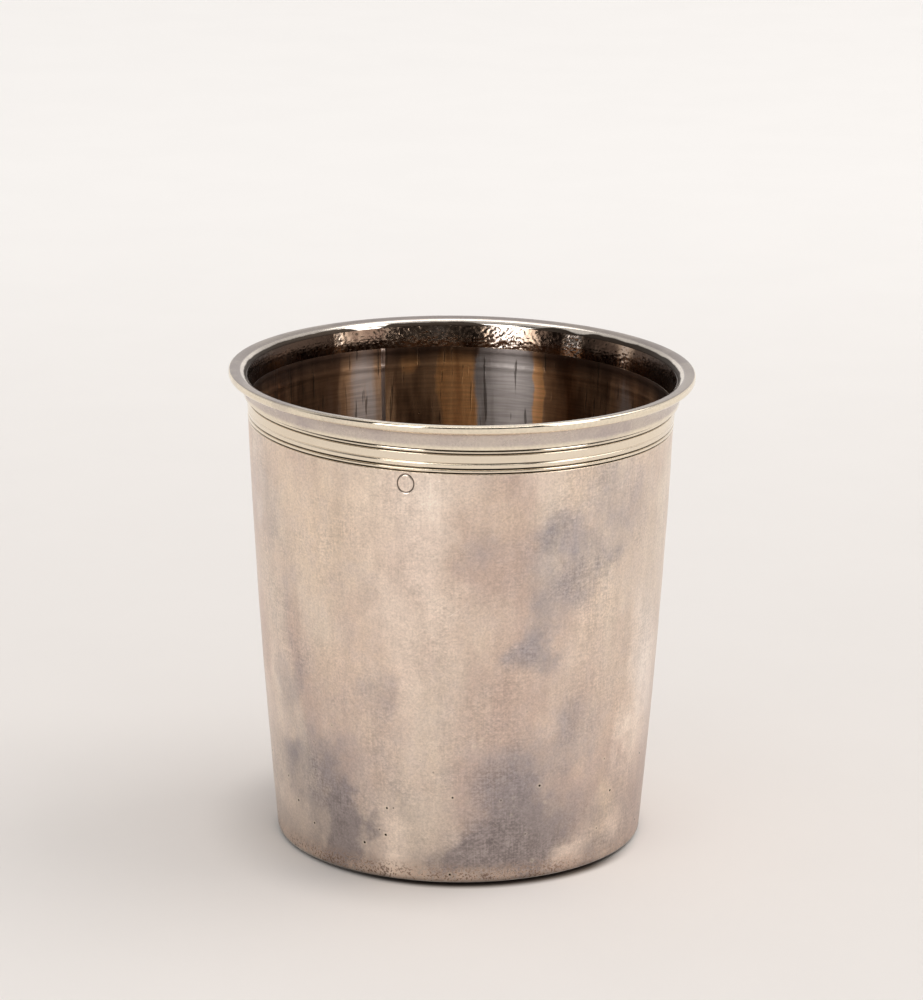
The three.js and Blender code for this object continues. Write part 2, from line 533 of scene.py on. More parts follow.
def spin_round(piece, steps, start=0.0, sweep=math.tau):
    """Turns the traced outline round the beaker's axis, and closes the ends of a part turn."""
    whole = math.isclose(sweep, math.tau)
    bpy.ops.mesh.select_all(action="SELECT")
    bpy.ops.transform.rotate(value=-start, orient_axis="Z", center_override=(0, 0, 0))
    bpy.ops.mesh.spin(steps=steps, angle=-sweep, center=(0, 0, 0), axis=(0, 0, 1))
    bpy.ops.mesh.select_all(action="SELECT")
    bpy.ops.mesh.remove_doubles(threshold=WELD)
    if not whole:
        bpy.ops.mesh.select_all(action="DESELECT")
        bpy.ops.mesh.select_non_manifold()
        bpy.ops.mesh.fill_holes(sides=0)
    bpy.ops.mesh.select_all(action="SELECT")
    bpy.ops.mesh.normals_make_consistent(inside=False)
    bpy.ops.object.mode_set(mode="OBJECT")
    return piece


def vertex_places(piece):
    places = np.empty(len(piece.data.vertices) * 3)
    piece.data.vertices.foreach_get("co", places)
    return places.reshape(-1, 3)


def radii_of(places):
    """How far each place lies from the cup's axis."""
    return np.hypot(places[:, 0], places[:, 1])


def store(piece, name, values):
    """Keeps one number for each vertex, which the materials read."""
    attribute = piece.data.attributes.new(name, "FLOAT", "POINT")
    attribute.data.foreach_set("value", np.asarray(values, np.float32))


def humps_round(places, rows):
    """Adds up smooth humps round the cup: azimuth from the back, half width, strength."""
    azimuth = np.degrees(np.arctan2(places[:, 0], places[:, 1]))
    total = np.zeros(len(places))
    for middle, half_width, strength in rows:
        away = (azimuth - middle + 180) % 360 - 180
        total += strength * swell(away, 0, half_width)
    return total


def keep_made_height(piece):
    """Remembers the height in millimetres that each point had before the cup was leaned."""
    store(piece, "made_height", vertex_places(piece)[:, 2] / MM)


def keep_made_radius(piece):
    """Remembers the radius in millimetres that each point had before the cup was leaned."""
    store(piece, "made_radius", radii_of(vertex_places(piece)) / MM)


def lean_at(height):
    """Sink, slope and shift of the cup at a height, between the rows of LEAN."""
    rows = np.array(LEAN)
    sink, slope, shift = (np.interp(height / MM, rows[:, 0], rows[:, i]) for i in (1, 2, 3))
    return sink * MM, math.tan(math.radians(slope)), shift * MM


def add_lean_cage():
    """A lattice whose points carry the lean of the hand-made cup."""
    deselect_all()
    middle = Vector((0, 0, LIP_TOP / 2))
    bpy.ops.object.add(type="LATTICE", location=middle)
    cage = bpy.context.object
    cage.name = "lean_cage"
    data = cage.data
    data.points_u = data.points_v = LEAN_POINTS_ACROSS
    data.points_w = LEAN_LEVELS
    data.interpolation_type_u = data.interpolation_type_v = "KEY_CATMULL_ROM"
    data.interpolation_type_w = "KEY_CATMULL_ROM"
    size = Vector((LEAN_REACH, LEAN_REACH, LIP_TOP))
    cage.scale = size
    wave = random.Random(HAND_WAVE_SEED)
    for point in data.points:
        place = Vector(a * b for a, b in zip(point.co, size)) + middle
        sink, slope, shift = lean_at(place.z)
        loose = min(1.0, place.z / HAND_WAVE_FULL_AT)
        nudge = Vector((wave.uniform(-1, 1), wave.uniform(-1, 1), 0)) * HAND_WAVE * loose
        move = Vector((shift, 0, sink - slope * place.x)) + nudge
        point.co_deform = Vector((p + m) / s for p, m, s in zip(place - middle, move, size))
    return cage


def lean(piece):
    """Leans a finished piece with the rest of the cup, and smooths its shading."""
    cage = bpy.data.objects.get("lean_cage") or add_lean_cage()
    deselect_all()
    piece.select_set(True)
    bpy.context.view_layer.objects.active = piece
    modifier = piece.modifiers.new("lean", "LATTICE")
    modifier.object = cage
    bpy.ops.object.modifier_apply(modifier=modifier.name)
    bpy.ops.object.shade_smooth_by_angle(angle=SMOOTH_ANGLE)
    return piece


def looks_inward(face):
    """Whether a face looks towards the cup's axis."""
    return face.center.x * face.normal.x + face.center.y * face.normal.y < 0


def subdivide_chosen(piece, is_chosen, cuts):
    """Cuts the faces that a test picks into smaller ones."""
    bpy.context.view_layer.objects.active = piece
    bpy.ops.object.mode_set(mode="EDIT")
    bpy.ops.mesh.select_mode(type="FACE")
    bpy.ops.mesh.select_all(action="DESELECT")
    bpy.ops.object.mode_set(mode="OBJECT")
    for face in piece.data.polygons:
        face.select = is_chosen(face)
    bpy.ops.object.mode_set(mode="EDIT")
    bpy.ops.mesh.subdivide(number_cuts=cuts)
    bpy.ops.mesh.select_mode(type="VERT")
    bpy.ops.object.mode_set(mode="OBJECT")


WEIGHT_LEVELS = 40


def displace(piece, weights, strength, texture, mid_level):
    """Moves vertices along their normals, by a weight for each and an optional texture."""
    group = piece.vertex_groups.new(name="displaced")
    levels = np.round(weights * WEIGHT_LEVELS)
    for level in range(1, WEIGHT_LEVELS + 1):
        chosen = np.flatnonzero(levels == level).tolist()
        group.add(chosen, level / WEIGHT_LEVELS, "REPLACE")
    modifier = piece.modifiers.new("displaced", "DISPLACE")
    modifier.texture = texture
    modifier.texture_coords = "LOCAL"
    modifier.vertex_group = group.name
    modifier.strength = strength
    modifier.mid_level = mid_level
    deselect_all()
    piece.select_set(True)
    bpy.context.view_layer.objects.active = piece
    bpy.ops.object.modifier_apply(modifier=modifier.name)


def fit_to_frame(piece, node):
    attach(piece, "root")
    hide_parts(node)


# Materials

# The span that most values of a noise lie in
NOISE_SPAN = (0.3, 0.7)
# Radii of a pit's floor and of its rim's two edges, as shares of the pit's own
PIT_FLOOR = 0.5
RIM_INSIDE = 1.3
RIM_OUTSIDE = 2.2


class NodeSheet:
    """The nodes of one material or world, with a short call for each kind that is used."""

    def __init__(self, owner, place):
        owner.use_nodes = True
        self.owner = owner
        self.nodes = owner.node_tree.nodes
        self.links = owner.node_tree.links
        self.place = self.add("ShaderNodeTexCoord").outputs[place]

    def add(self, kind, **settings):
        node = self.nodes.new(kind)
        for name, value in settings.items():
            setattr(node, name, value)
        return node

    def put(self, socket, value):
        """Links a socket to another one, or gives it a number, a vector or a colour."""
        if isinstance(value, bpy.types.NodeSocket):
            self.links.new(value, socket)
        elif hasattr(value, "__len__") and len(value) == 3 and socket.type == "RGBA":
            socket.default_value = (*value, 1.0)
        else:
            socket.default_value = value

    def maths(self, operation, first, second=0.0):
        node = self.add("ShaderNodeMath", operation=operation)
        self.put(node.inputs[0], first)
        self.put(node.inputs[1], second)
        return node.outputs[0]

    def plus(self, first, second):
        return self.maths("ADD", first, second)

    def times(self, first, second):
        return self.maths("MULTIPLY", first, second)

    def total(self, *pairs):
        """Adds up values, each times its weight."""
        terms = [value if weight == 1 else self.times(value, weight) for value, weight in pairs]
        return functools.reduce(self.plus, terms)

    def lessened(self, value, share, amount=1.0):
        """Takes a share of a value away from it."""
        return self.times(value, self.plus(1.0, self.times(share, -amount)))

    def at_most(self, value, limit):
        return self.maths("MINIMUM", value, limit)

    def stored(self, name):
        return self.add("ShaderNodeAttribute", attribute_name=name).outputs["Fac"]

    def along(self, axis):
        """How far a point, or a direction of the world, lies along one axis."""
        node = self.add("ShaderNodeSeparateXYZ")
        self.put(node.inputs[0], self.place)
        return node.outputs[axis]

    def stretched(self, stretch, turn=(0, 0, 0), shift=(0, 0, 0)):
        """Places pulled out along each axis, after a turn in degrees."""
        node = self.add("ShaderNodeMapping", vector_type="TEXTURE")
        self.put(node.inputs["Vector"], self.place)
        node.inputs["Scale"].default_value = stretch
        node.inputs["Rotation"].default_value = [math.radians(a) for a in turn]
        node.inputs["Location"].default_value = shift
        return node.outputs[0]

    def noise(self, place, scale, detail=3.0, roughness=0.55, distortion=0.0):
        node = self.add("ShaderNodeTexNoise")
        self.put(node.inputs["Vector"], place)
        node.inputs["Scale"].default_value = scale
        node.inputs["Detail"].default_value = detail
        node.inputs["Roughness"].default_value = roughness
        node.inputs["Distortion"].default_value = distortion
        return node.outputs["Fac"]

    def ramp(self, value, low, high, to_low=0.0, to_high=1.0):
        """Turns a span of values smoothly into another, 0 to 1 unless told otherwise."""
        node = self.add("ShaderNodeMapRange", interpolation_type="SMOOTHSTEP")
        self.put(node.inputs["Value"], value)
        node.inputs["From Min"].default_value = low
        node.inputs["From Max"].default_value = high
        node.inputs["To Min"].default_value = to_low
        node.inputs["To Max"].default_value = to_high
        return node.outputs["Result"]

    def blend(self, share, first, second):
        node = self.add("ShaderNodeMix", data_type="RGBA")
        node.clamp_factor = True
        self.put(node.inputs["Factor"], share)
        self.put(node.inputs[6], first)
        self.put(node.inputs[7], second)
        return node.outputs[2]

    def coat(self, colour, film, share, strength=1.0):
        """Lays a film of another colour over a colour, by a share times a strength."""
        return self.blend(share if strength == 1 else self.times(share, strength), colour, film)

    def scaled(self, colour, amount):
        node = self.add("ShaderNodeVectorMath", operation="SCALE")
        self.put(node.inputs[0], colour)
        self.put(node.inputs["Scale"], amount)
        return node.outputs[0]

    def pits(self, scale, size, share):
        """Small round pits and their raised rims, on a share of the cells of a Voronoi pattern."""
        node = self.add("ShaderNodeTexVoronoi")
        self.put(node.inputs["Vector"], self.place)
        node.inputs["Scale"].default_value = scale
        away = node.outputs["Distance"]
        pick = self.add("ShaderNodeSeparateColor")
        self.put(pick.inputs[0], node.outputs["Color"])
        chosen = self.maths("LESS_THAN", pick.outputs[0], share)
        pit = self.times(self.ramp(away, size, size * PIT_FLOOR), chosen)
        near = self.times(self.ramp(away, size * RIM_OUTSIDE, size * RIM_INSIDE), chosen)
        return pit, self.maths("SUBTRACT", near, pit)

    def metal(self, colour, roughness, height, bump_distance, brushed=0.0, brushed_turn=0.0):
        """Makes the material a metal. A brushed one stretches its highlights along the turn."""
        shader = self.nodes["Principled BSDF"]
        self.put(shader.inputs["Base Color"], colour)
        self.put(shader.inputs["Roughness"], roughness)
        shader.inputs["Metallic"].default_value = 1.0
        shader.inputs["Anisotropic"].default_value = brushed
        shader.inputs["Anisotropic Rotation"].default_value = brushed_turn
        bump = self.add("ShaderNodeBump")
        bump.inputs["Distance"].default_value = bump_distance
        self.put(bump.inputs["Height"], height)
        self.put(shader.inputs["Normal"], bump.outputs[0])
        return self.owner


def new_finish(name):
    return NodeSheet(bpy.data.materials.new(name), "Object")


# Clouds of tarnish, with painted highlights, reflections and shade among them, as the front shows
# them: X and height of the middle, half width and half height, all in millimetres, then the turn in
# degrees and the strength
LILAC_CLOUDS = (
    (-21.0, 14.0, 7.0, 14.0, 8.0, 0.9),
    (-18.0, 7.5, 4.5, 12.0, 0.0, 1.4),
    (-28.0, 16.0, 5.0, 8.0, 10.0, 0.75),
    (-24.0, 21.0, 7.0, 8.0, 20.0, 0.75),
    (-29.0, 29.0, 4.0, 9.0, 10.0, 0.7),
    (-24.0, 2.0, 8.0, 5.0, 0.0, 0.25),
    (1.0, 4.5, 7.5, 4.0, 0.0, 0.8),
    (-13.0, 32.0, 5.0, 7.0, -20.0, 0.4),
    (-10.0, 14.0, 5.0, 6.0, 0.0, 0.3),
    (10.0, 7.0, 12.0, 10.0, 0.0, 0.9),
    (17.0, 11.0, 9.0, 7.0, 10.0, 0.5),
    (18.0, 24.0, 7.0, 10.0, 20.0, 0.7),
    (8.0, 18.0, 11.0, 9.0, 10.0, 0.65),
    (12.8, 45.0, 4.6, 13.0, 28.0, 0.8),
    (3.5, 59.5, 6.0, 6.0, 0.0, 0.35),
    (16.0, 60.5, 4.0, 5.0, 0.0, 0.35),
    (11.5, 40.0, 4.5, 7.0, 20.0, 0.6),
    (15.0, 57.0, 7.0, 11.0, 12.0, 0.5),
    (26.0, 64.0, 9.0, 12.0, 0.0, 0.6),
    (20.0, 53.0, 5.0, 10.0, 10.0, 0.9),
    (23.0, 2.0, 7.0, 4.0, 0.0, 0.4),
    (-29.0, 44.0, 4.0, 14.0, 0.0, 0.4),
    (-33.0, 60.0, 4.0, 18.0, 0.0, 0.7),
    (-16.0, 54.0, 5.0, 7.0, 10.0, 0.25),
)
# Pale clouds of less tarnished silver, partly painted highlights where the lamps and the lit floor
# shine in the wall
PALE_AND_HIGHLIGHT_CLOUDS = (
    (-13.0, 62.0, 6.0, 18.0, 0.0, 0.5),
    (-6.0, 62.0, 6.0, 20.0, 0.0, 1.0),
    (-11.5, 48.0, 4.0, 9.0, 0.0, 0.6),
    (-3.0, 48.0, 5.0, 12.0, 0.0, 0.5),
    (-11.5, 8.0, 3.5, 12.0, 0.0, 0.5),
    (-8.5, 39.0, 4.0, 14.0, 0.0, 0.6),
    (-3.0, 68.0, 8.0, 5.0, 0.0, 0.4),
    (28.0, 67.0, 4.0, 7.0, 0.0, 0.5),
    (31.0, 28.0, 4.0, 26.0, -4.0, 1.6),
    (29.0, 20.0, 4.0, 14.0, 0.0, 1.6),
    (25.5, 6.0, 3.0, 7.0, 0.0, 0.8),
    (-31.5, 26.0, 3.0, 20.0, 4.0, 0.8),
    (13.0, 70.0, 5.0, 6.0, 0.0, 0.5),
    (17.5, 3.5, 7.0, 3.5, 0.0, 0.9),
    (-11.0, 3.0, 5.0, 3.5, 0.0, 0.6),
    (-31.0, 9.0, 5.0, 6.0, 0.0, 0.6),
)
GOLDEN_CLOUDS = (
    (-23.0, 60.0, 9.0, 20.0, 0.0, 0.8),
    (-15.0, 60.0, 6.0, 16.0, 6.0, 0.8),
    (5.0, 64.0, 10.0, 9.0, 0.0, 0.5),
    (19.0, 68.0, 6.0, 6.0, 0.0, 0.5),
    (24.0, 10.0, 2.5, 9.0, 0.0, 1.3),
    (-11.0, 14.0, 3.0, 8.0, 15.0, 0.5),
)
# Painted reflections: pale, cool silver along the wall's left and right edges
EDGE_REFLECTIONS = (
    (32.5, 24.0, 4.5, 34.0, -4.0, 1.0),
    (-34.5, 56.0, 3.0, 30.0, 4.0, 0.7),
)
# Bare grey silver inside, laid where the front lamps' reflections fall: partly bare silver, partly
# painted reflection
BARE_AND_REFLECTION_STREAKS = (
    (-17.0, 66.0, 5.0, 22.0, 0.0, 0.58),
    (-22.5, 64.0, 2.5, 16.0, 0.0, 0.45),
    (3.8, 66.0, 2.6, 22.0, 0.0, 0.6),
    (8.2, 66.0, 8.0, 22.0, 0.0, 1.2),
    (28.0, 66.0, 3.5, 14.0, 0.0, 0.8),
)
COPPER_STREAKS = (
    (-9.0, 73.0, 3.0, 4.0, 0.0, 0.7),
    (-2.5, 68.0, 3.4, 16.0, 0.0, 1.1),
    (0.8, 66.0, 3.2, 22.0, 0.0, 0.95),
    (13.4, 66.0, 1.7, 18.0, 0.0, 1.0),
)
# Painted shade inside the cup, darkest at its sides
SHADE_STREAKS = (
    (-27.0, 66.0, 8.0, 22.0, 0.0, 1.6),
    (-15.5, 66.0, 4.0, 22.0, 0.0, 0.5),
    (-20.0, 66.0, 3.5, 22.0, 0.0, 0.6),
    (-9.0, 60.0, 4.0, 16.0, 0.0, 0.6),
    (22.0, 66.0, 6.5, 22.0, 0.0, 0.85),
)
# Y of the clouds' middles, on the wall's near side and on its far side
NEAR_SIDE = -30 * MM
FAR_SIDE = 32 * MM
# How far the noise shakes the outlines of the upright streaks
STREAK_SHAKE = 3 * MM
CLOUD_SOFTNESS = 0.8


def soft_clouds(sheet, rows, depth, shake):
    """Adds up soft clouds on the wall's near or far side, their outlines shaken by a noise."""
    noise = sheet.add("ShaderNodeTexNoise")
    sheet.put(noise.inputs["Vector"], sheet.place)
    noise.inputs["Scale"].default_value = 120
    noise.inputs["Detail"].default_value = 5
    noise.inputs["Roughness"].default_value = 0.6
    shaken = sheet.add("ShaderNodeVectorMath", operation="MULTIPLY_ADD")
    sheet.put(shaken.inputs[0], noise.outputs["Color"])
    shaken.inputs[1].default_value = (shake, 0, shake)
    sheet.put(shaken.inputs[2], sheet.place)
    clouds = []
    for x, height, half_width, half_height, turn, strength in rows:
        place = sheet.add("ShaderNodeMapping", vector_type="TEXTURE")
        sheet.put(place.inputs["Vector"], shaken.outputs[0])
        centre = (x * MM + shake / 2, depth, height * MM + shake / 2)
        place.inputs["Location"].default_value = centre
        place.inputs["Rotation"].default_value = (0, math.radians(turn), 0)
        place.inputs["Scale"].default_value = (half_width * MM, abs(depth), half_height * MM)
        ball = sheet.add("ShaderNodeTexGradient", gradient_type="SPHERICAL")
        sheet.put(ball.inputs["Vector"], place.outputs[0])
        clouds.append((sheet.ramp(ball.outputs["Fac"], 0.0, CLOUD_SOFTNESS), strength))
    return sheet.total(*clouds)


# Colours of single films, of darkenings, and of painted shade, shadow, highlight, sheen and
# reflection: on the wall's outside and foot, on its inside, on the lip, on the solder and on the
# base
PEACH_FILM = (0.88, 0.71, 0.57)
GOLDEN_FILM = (0.94, 0.765, 0.59)
# Pale silver, partly a painted highlight
PALE_AND_HIGHLIGHT_SILVER = (1.0, 0.86, 0.74)
# Painted reflection at the wall's left and right edges
EDGE_REFLECTION_COLOUR = (1.0, 0.95, 0.91)
LOW_TARNISH = (0.30, 0.262, 0.26)
FOOT_PEACH = (0.74, 0.54, 0.41)
FOOT_DIRT = (0.14, 0.09, 0.07)
# Painted shade near the table, on the wall's foot and on the disc's edge
FOOT_SHADE_COLOUR = (0.10, 0.085, 0.075)
# Painted black shadow on the disc's lower edge, where it meets the table
FOOT_PAINTED_SHADOW = (0.02, 0.016, 0.014)
SMALL_PIT = (0.14, 0.11, 0.10)
INSIDE_SHADE = (0.10, 0.05, 0.027)
INSIDE_COPPER = (0.86, 0.44, 0.18)
# Darker on the inner wall just under the lip
UNDER_LIP_DARK = (0.06, 0.034, 0.024)
LIP_EDGE = (0.90, 0.83, 0.74)
LIP_TOP_FILM = (0.40, 0.355, 0.335)
LIP_HOLLOW_FILM = (0.545, 0.47, 0.437)
# Painted dark reflection on the lip's inner face
THROAT_PAINTED_DARK = (0.03, 0.018, 0.011)
SOLDER_FILM = (0.09, 0.058, 0.042)
SOLDER_BROWN = (0.36, 0.26, 0.19)
# Bright solder, partly a painted sheen
SOLDER_BRIGHT_AND_SHEEN = (0.72, 0.60, 0.52)
# Darker at the solder band's far left and right
SOLDER_SIDE_DARK = (0.05, 0.03, 0.022)
SEAM_SCRAPE = (0.18, 0.12, 0.09)
BASE_PALE = (0.62, 0.57, 0.51)
BASE_DULL = (0.46, 0.42, 0.39)

# Heights in millimetres, as the piece was made, over which a film, a darkening or a painted shade,
# shadow or reflection grows to its full share
TARNISH_HEIGHTS = (34, 2)
LOW_TARNISH_HEIGHTS = (30, 4)
POLISHED_HEIGHTS = (LINES_START / MM + 0.2, LINES_START / MM + 0.7)
FOOT_FILM_HEIGHTS = (6.4, 3.0)
FOOT_SHADE_HEIGHTS = (1.7, 0.5)
FOOT_SHADOW_HEIGHTS = (0.74, 0.62)
UNDER_LIP_HEIGHTS = (72.8, 76.8)
NOTCH_HEIGHTS = (75.42, 75.3)
HOLLOW_FOOT_HEIGHTS = (75.5, 76.3)
HOLLOW_TOP_HEIGHTS = (78.7, 78.35)
THROAT_DARK_HEIGHTS = (79.70, 79.52)
LIP_TOP_HEIGHTS = (79.66, 79.78)

# Radii in millimetres over which the film of the lip's top and the painted shadow on the disc's
# edge grow
LIP_TOP_RADII = (38.5, 38.35)
FOOT_SHADOW_RADII = (26.8, 27.4)

# Spans of X over which a film, a darkening, a painted shade or a painted shadow changes towards one
# side of the cup
FOOT_FILM_RIGHT = (22 * MM, 12 * MM)
FOOT_SHADE_LEFT = (-26 * MM, -10 * MM)
FOOT_SHADE_RIGHT = (24 * MM, 10 * MM)
FOOT_SHADOW_LEFT = (-28 * MM, -8 * MM)
FOOT_SHADOW_RIGHT = (30 * MM, 20 * MM)
SOLDER_SIDE_LEFT = (-28 * MM, -34 * MM)
SOLDER_SIDE_RIGHT = (29 * MM, 34 * MM)


def foot_painted_shade(sheet, height, across):
    """How much painted shade darkens the foot close to the table, most of it in the middle."""
    painted_shade = sheet.ramp(height, *FOOT_SHADE_HEIGHTS, 0.0, 0.6)
    painted_shade = sheet.times(painted_shade, sheet.ramp(across, *FOOT_SHADE_LEFT, 0.3, 1.0))
    return sheet.times(painted_shade, sheet.ramp(across, *FOOT_SHADE_RIGHT, 0.15, 1.0))


def outside_silver(finish):
    """Satin old silver with rosy, golden and lilac tarnish, fine crossed scratches and pits, partly
    painted highlights, painted reflections at its edges and painted shade near the table.
    """
    sheet = new_finish("outside_silver")
    clouds = sheet.noise(sheet.stretched((1, 1, 1.7)), 45, detail=7, distortion=0.4)
    rosy = sheet.noise(sheet.stretched((1, 1, 1.4), shift=(0.3, 0.1, 0)), 80, detail=8)
    lilac_place = sheet.stretched((1, 1, 1.4), shift=(0.7, 0.4, 0.2))
    lilac = sheet.noise(lilac_place, 60, detail=9, roughness=0.62)
    mottle = sheet.noise(sheet.stretched((1, 1, 1.2)), 300, detail=6, roughness=0.68)
    scuffed = sheet.ramp(sheet.noise(sheet.place, 95, detail=5), 0.36, 0.66)
    streaks = sheet.noise(sheet.stretched((1, 1, 20)), 500, detail=3, roughness=0.7)
    grain = sheet.noise(sheet.place, 2600, detail=3, roughness=0.8)
    speckle = sheet.noise(sheet.place, 2600, detail=2)
    rising = sheet.noise(sheet.stretched((8, 1, 1), turn=(0, -30, 0)), 3000, detail=3)
    falling = sheet.noise(sheet.stretched((8, 1, 1), turn=(0, 38, 0)), 2800, detail=3)
    level = sheet.noise(sheet.stretched((9, 9, 1)), 3000, detail=3)
    upright = sheet.noise(sheet.stretched((1, 1, 9)), 3000, detail=3)
    crossed = sheet.plus(sheet.plus(rising, falling), sheet.plus(level, upright))
    crossed = sheet.times(crossed, 0.25)
    long_rise = sheet.noise(sheet.stretched((70, 1, 1), turn=(0, -38, 0)), 1500, detail=1)
    long_fall = sheet.noise(sheet.stretched((70, 1, 1), turn=(0, 52, 0)), 1400, detail=1)
    long_scratches = sheet.ramp(long_rise, 0.64, 0.70)
    long_scratches = sheet.plus(long_scratches, sheet.ramp(long_fall, 0.66, 0.72))
    height = sheet.stored("made_height")
    across = sheet.along("X")
    low_down = sheet.ramp(height, *TARNISH_HEIGHTS)

    small_pits, small_rims = sheet.pits(460, 0.10, 0.14)
    small_pits = sheet.times(small_pits, sheet.ramp(low_down, 0.1, 0.8, 0.25, 1.0))
    large_pits, large_rims = sheet.pits(310, 0.085, 0.75)
    pitted = sheet.ramp(sheet.total((low_down, 1), (clouds, 0.9)), 0.62, 0.68)
    large_pits = sheet.times(large_pits, pitted)
    large_rims = sheet.times(large_rims, pitted)

    ragged = sheet.ramp(lilac, 0.40, 0.62)
    golden = sheet.at_most(soft_clouds(sheet, GOLDEN_CLOUDS, NEAR_SIDE, 8 * MM), 1.0)
    # Pale silver, partly painted highlights
    pale = sheet.at_most(soft_clouds(sheet, PALE_AND_HIGHLIGHT_CLOUDS, NEAR_SIDE, 9 * MM), 1.25)
    warm = sheet.blend(sheet.ramp(clouds, 0.35, 0.65), finish.warm_silver, finish.rose_silver)
    warm = sheet.coat(warm, PEACH_FILM, sheet.ramp(rosy, 0.48, 0.68), 0.6)
    warm = sheet.coat(warm, GOLDEN_FILM, golden, 0.75)
    warm = sheet.coat(warm, PALE_AND_HIGHLIGHT_SILVER, pale, 0.75)
    warm = sheet.coat(warm, finish.rose_silver, ragged, 0.3)

    cloudy = soft_clouds(sheet, LILAC_CLOUDS, NEAR_SIDE, 13 * MM)
    cloudy = sheet.times(cloudy, sheet.plus(0.54, sheet.times(ragged, 0.32)))
    mottled = sheet.ramp(mottle, *NOISE_SPAN, -0.15, 0.15)
    lilac_share = sheet.total(
        (cloudy, 1), (ragged, 0.09), (low_down, 0.33), (pale, -0.3), (mottled, 1)
    )
    lilac_share = sheet.at_most(sheet.maths("MAXIMUM", lilac_share, 0.0), 0.88)
    low_share = sheet.ramp(height, *LOW_TARNISH_HEIGHTS)
    tarnish = sheet.blend(low_share, finish.lilac_tarnish, LOW_TARNISH)
    colour = sheet.blend(lilac_share, warm, tarnish)
    # Painted reflection along the wall's left and right edges
    edge_reflection = soft_clouds(sheet, EDGE_REFLECTIONS, NEAR_SIDE, STREAK_SHAKE)
    colour = sheet.coat(colour, EDGE_REFLECTION_COLOUR, edge_reflection)

    rough_share = sheet.times(scuffed, sheet.plus(0.6, sheet.times(lilac_share, 0.6)))
    rough_tone = sheet.times(sheet.ramp(crossed, 0.42, 0.58, -0.23, 0.12), rough_share)
    smooth_tone = sheet.ramp(streaks, 0.32, 0.68, 0.96, 1.03)
    colour = sheet.scaled(colour, sheet.plus(smooth_tone, rough_tone))
    colour = sheet.scaled(colour, sheet.ramp(mottle, *NOISE_SPAN, 0.92, 1.07))
    colour = sheet.scaled(colour, sheet.ramp(grain, *NOISE_SPAN, 0.88, 1.12))

    band = sheet.ramp(height, *POLISHED_HEIGHTS)
    colour = sheet.coat(colour, finish.polished_silver, band, 0.8)
    # Tarnish in the lines and the mark, with the faint line's painted dark reflection
    line = sheet.ramp(sheet.stored("line_cut"), 0.2, 0.9, 0.0, 0.9)
    colour = sheet.coat(colour, finish.deep_tarnish, line)
    foot = sheet.ramp(sheet.total((height, 1), (lilac, 3.0)), *FOOT_FILM_HEIGHTS)
    foot = sheet.times(foot, sheet.ramp(across, *FOOT_FILM_RIGHT, 0.45, 1.0))
    peach = sheet.times(foot, sheet.ramp(speckle, 0.35, 0.6))
    colour = sheet.coat(colour, FOOT_PEACH, peach, 0.6)
    dirt = sheet.ramp(sheet.total((speckle, 1), (mottle, 0.6)), 0.78, 0.96)
    colour = sheet.coat(colour, FOOT_DIRT, sheet.times(foot, dirt), 0.8)
    # Painted shade on the foot close to the table
    colour = sheet.coat(colour, FOOT_SHADE_COLOUR, foot_painted_shade(sheet, height, across))
    rims = sheet.total((small_rims, 0.12), (large_rims, 0.2))
    colour = sheet.coat(colour, finish.polished_silver, rims)
    colour = sheet.coat(colour, SMALL_PIT, small_pits, 0.8)
    colour = sheet.coat(colour, finish.deep_tarnish, large_pits)

    roughness = sheet.total((sheet.ramp(clouds, *NOISE_SPAN, 0.30, 0.35), 1), (lilac_share, 0.12))
    roughness = sheet.lessened(roughness, band, 0.6)
    scratches = sheet.times(crossed, rough_share)
    marks = sheet.total((streaks, 0.3), (grain, 0.8), (scratches, 2.2), (long_scratches, -2.5))
    relief = sheet.total(
        (sheet.lessened(marks, band, 0.8), 1),
        (small_pits, -3.0),
        (large_pits, -7.0),
        (small_rims, 0.5),
        (large_rims, 1),
    )
    return sheet.metal(colour, roughness, relief, 0.006 * MM)


